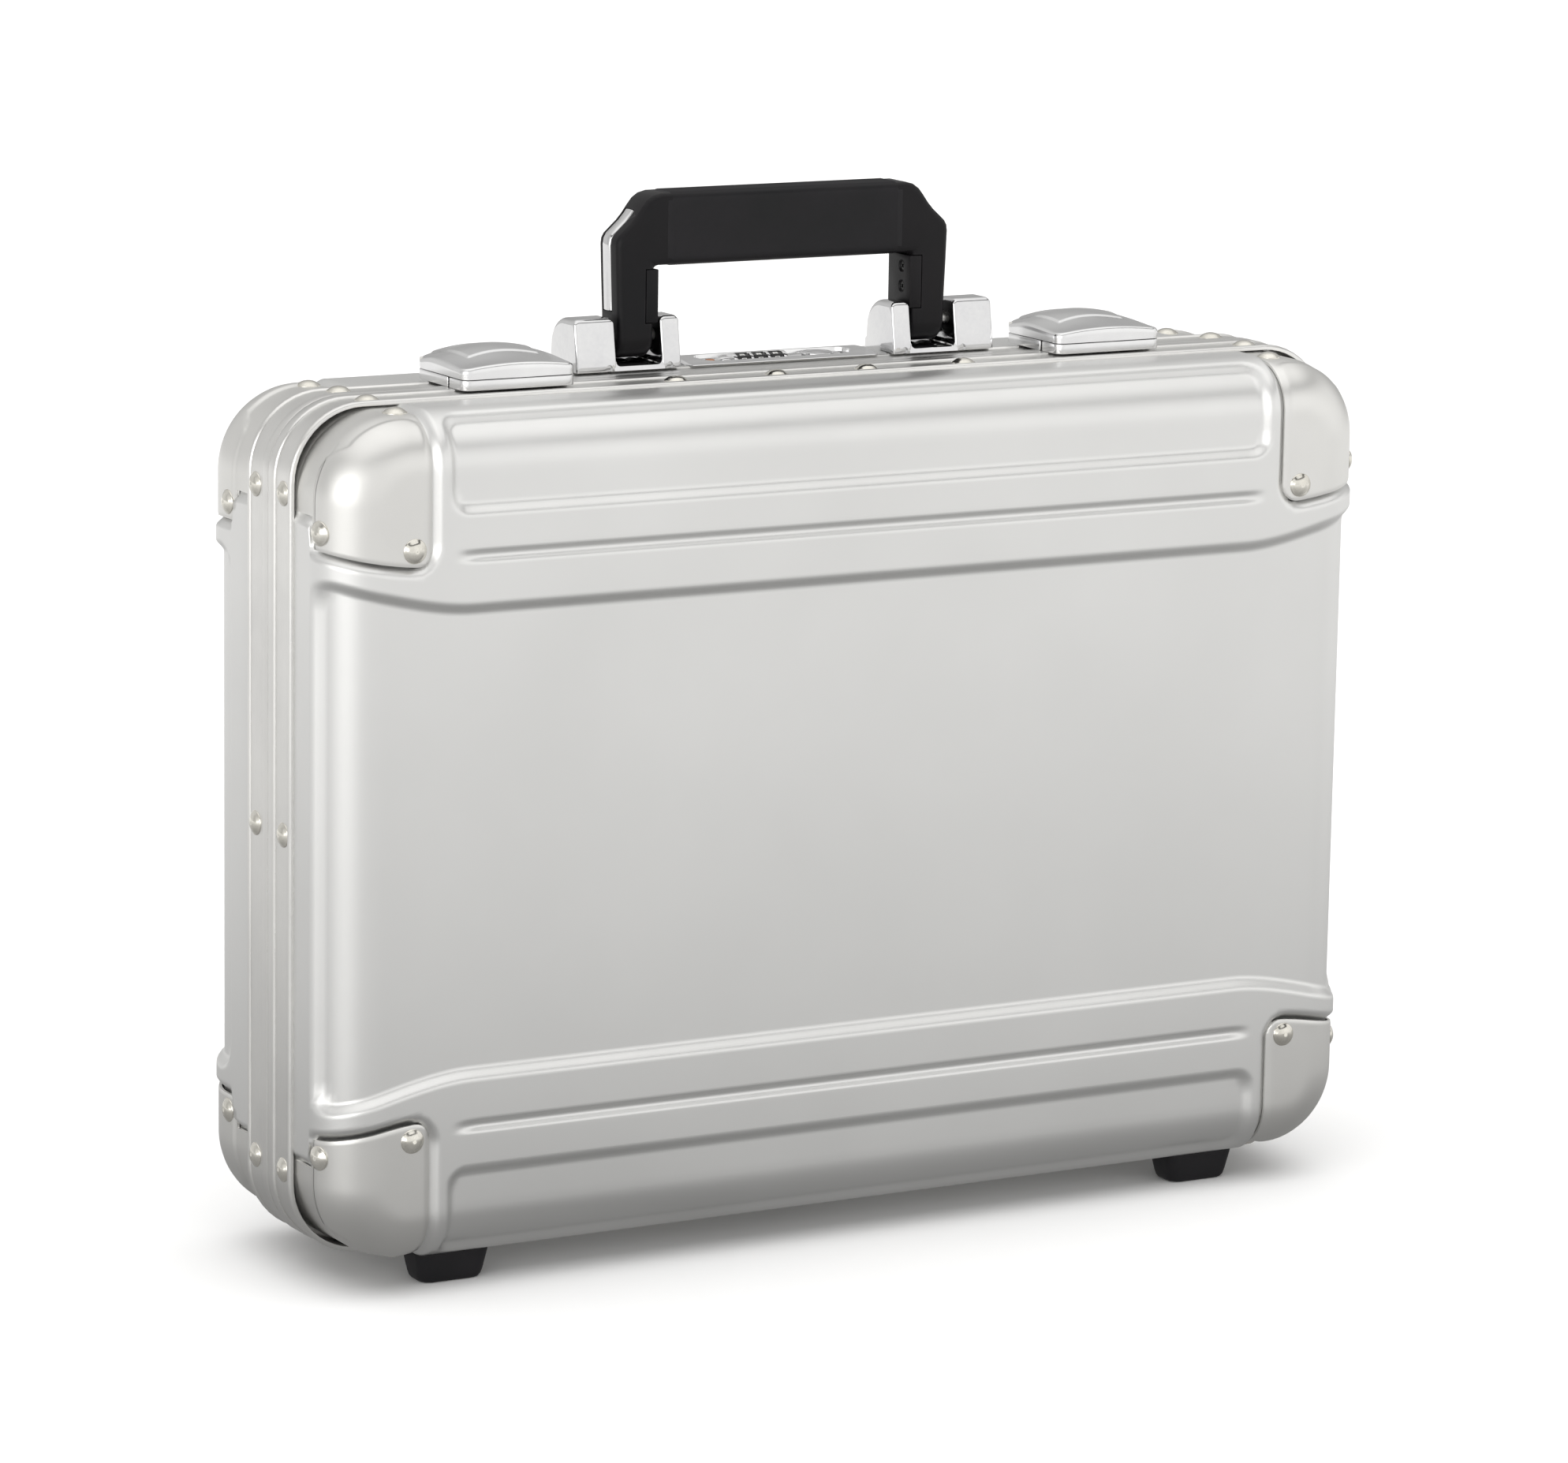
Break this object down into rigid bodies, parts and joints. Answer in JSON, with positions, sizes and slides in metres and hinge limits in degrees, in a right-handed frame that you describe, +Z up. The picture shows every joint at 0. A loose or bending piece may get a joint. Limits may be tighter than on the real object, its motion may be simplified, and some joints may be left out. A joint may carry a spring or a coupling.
{
  "type": "attache case",
  "caption": "Hard-sided aluminum attache case with pressed shells, riveted frames, corner caps, folding handle, lever latches and a dial lock.",
  "frame": {"origin": "centre of the case's footprint, on the floor under the feet", "axes": "+X across the width, +Z up towards the handle, -Y towards the front (lid side)"},
  "size_m": [0.4644, 0.1264, 0.4065],
  "materials": {
    "shell_aluminium": "bead-blasted satin",
    "frame_aluminium": "brushed satin",
    "cap_aluminium": "satin, slightly warm",
    "rivet_nickel": "polished nickel plate",
    "lining_fabric": "woven nylon",
    "organizer_leather": "soft grain",
    "black_rubber": "matt",
    "zinc_steel": "zinc plated",
    "bright_chrome": "polished",
    "latch_satin": "satin chrome",
    "screw_black": "black oxide",
    "handle_plastic": "semi-matt moulded",
    "dial_plastic": "gloss with white numbers",
    "lock_zinc": "zinc die casting",
    "reset_brass": "plain"
  },
  "bodies": {
    "base": {"base_shell": "shell_aluminium", "base_frame": "frame_aluminium", "base_cap_top_left": "cap_aluminium", "base_cap_top_right": "cap_aluminium", "base_cap_bottom_left": "cap_aluminium", "base_cap_bottom_right": "cap_aluminium", "base_cap_rivets": "rivet_nickel", "base_frame_rivets": "rivet_nickel", "base_lining": "lining_fabric", "frame_gasket": "black_rubber", "hinge_base_leaf": "zinc_steel", "hinge_pin": "zinc_steel", "base_feet": "black_rubber", "base_screws": "zinc_steel", "handle_bracket_left": "bright_chrome", "handle_bracket_right": "bright_chrome", "handle_pivot_pins": "zinc_steel", "latch_base_left": "latch_satin", "latch_base_right": "latch_satin", "latch_pins": "zinc_steel", "latch_springs": "zinc_steel", "lock_plate": "latch_satin", "lock_housing": "lock_zinc", "dial_shaft": "zinc_steel", "stay_base_pivots": "zinc_steel"},
    "lid": {"lid_shell": "shell_aluminium", "lid_frame": "frame_aluminium", "lid_cap_top_left": "cap_aluminium", "lid_cap_top_right": "cap_aluminium", "lid_cap_bottom_left": "cap_aluminium", "lid_cap_bottom_right": "cap_aluminium", "lid_cap_rivets": "rivet_nickel", "lid_frame_rivets": "rivet_nickel", "lid_lining": "lining_fabric", "lid_organizer": "organizer_leather", "hinge_lid_leaf": "zinc_steel", "lid_feet": "black_rubber", "lid_screws": "zinc_steel", "strike_left": "latch_satin", "strike_right": "latch_satin", "stay_lid_pivots": "zinc_steel"},
    "handle": {"handle_body": "handle_plastic", "handle_grip": "black_rubber", "handle_trim_left": "bright_chrome", "handle_trim_right": "bright_chrome", "handle_covers": "handle_plastic", "handle_cover_screws": "screw_black"},
    "latch_left": {"latch_lever_left": "latch_satin"},
    "latch_right": {"latch_lever_right": "latch_satin"},
    "dial_left": {"dial_1": "dial_plastic"},
    "dial_middle": {"dial_2": "dial_plastic"},
    "dial_right": {"dial_3": "dial_plastic"},
    "release_slide": {"release_knob": "bright_chrome", "lock_bar": "zinc_steel"},
    "reset_button": {"code_reset_button": "reset_brass"},
    "stay_base_left": {"stay_base_arm_left": "zinc_steel"},
    "stay_base_right": {"stay_base_arm_right": "zinc_steel"},
    "stay_lid_left": {"stay_lid_arm_left": "zinc_steel"},
    "stay_lid_right": {"stay_lid_arm_right": "zinc_steel"}
  },
  "joints": [
    {"name": "lid_hinge", "type": "hinge", "parent": "base", "child": "lid", "pos_m": [0, -0.005, 0.011], "axis": [1, 0, 0], "range_deg": [0, 95]},
    {"name": "handle_fold", "type": "hinge", "parent": "base", "child": "handle", "pos_m": [0, 0.021, 0.351], "axis": [1, 0, 0], "range_deg": [0, 88]},
    {"name": "latch_left_lift", "type": "hinge", "parent": "base", "child": "latch_left", "pos_m": [-0.131, 0.02, 0.3465], "axis": [-1, 0, 0], "range_deg": [0, 75]},
    {"name": "latch_right_lift", "type": "hinge", "parent": "base", "child": "latch_right", "pos_m": [0.131, 0.02, 0.3465], "axis": [-1, 0, 0], "range_deg": [0, 75]},
    {"name": "dial_left_spin", "type": "hinge", "parent": "base", "child": "dial_left", "pos_m": [-0.0144, 0.022, 0.3362], "axis": [1, 0, 0], "continuous": true},
    {"name": "dial_middle_spin", "type": "hinge", "parent": "base", "child": "dial_middle", "pos_m": [-0.007, 0.022, 0.3362], "axis": [1, 0, 0], "continuous": true},
    {"name": "dial_right_spin", "type": "hinge", "parent": "base", "child": "dial_right", "pos_m": [0.0004, 0.022, 0.3362], "axis": [1, 0, 0], "continuous": true},
    {"name": "release_slide", "type": "slide", "parent": "base", "child": "release_slide", "axis": [1, 0, 0], "range_m": [0, 0.005]},
    {"name": "reset_press", "type": "slide", "parent": "base", "child": "reset_button", "axis": [0, 0, -1], "range_m": [0, 0.001]},
    {"name": "stay_base_left_swing", "type": "hinge", "parent": "base", "child": "stay_base_left", "pos_m": [-0.2167, -0.0018, 0.141], "axis": [1, 0, 0], "range_deg": [0, 95]},
    {"name": "stay_lid_left_swing", "type": "hinge", "parent": "lid", "child": "stay_lid_left", "pos_m": [-0.2143, -0.0082, 0.141], "axis": [1, 0, 0], "range_deg": [-95, 0]},
    {"name": "stay_base_right_swing", "type": "hinge", "parent": "base", "child": "stay_base_right", "pos_m": [0.2167, -0.0018, 0.141], "axis": [1, 0, 0], "range_deg": [0, 95]},
    {"name": "stay_lid_right_swing", "type": "hinge", "parent": "lid", "child": "stay_lid_right", "pos_m": [0.2143, -0.0082, 0.141], "axis": [1, 0, 0], "range_deg": [-95, 0]}
  ],
  "couplings": [
    {"joint": "stay_base_left_swing", "follows": "lid_hinge", "ratio": 1},
    {"joint": "stay_lid_left_swing", "follows": "lid_hinge", "ratio": -1},
    {"joint": "stay_base_right_swing", "follows": "lid_hinge", "ratio": 1},
    {"joint": "stay_lid_right_swing", "follows": "lid_hinge", "ratio": -1}
  ]
}
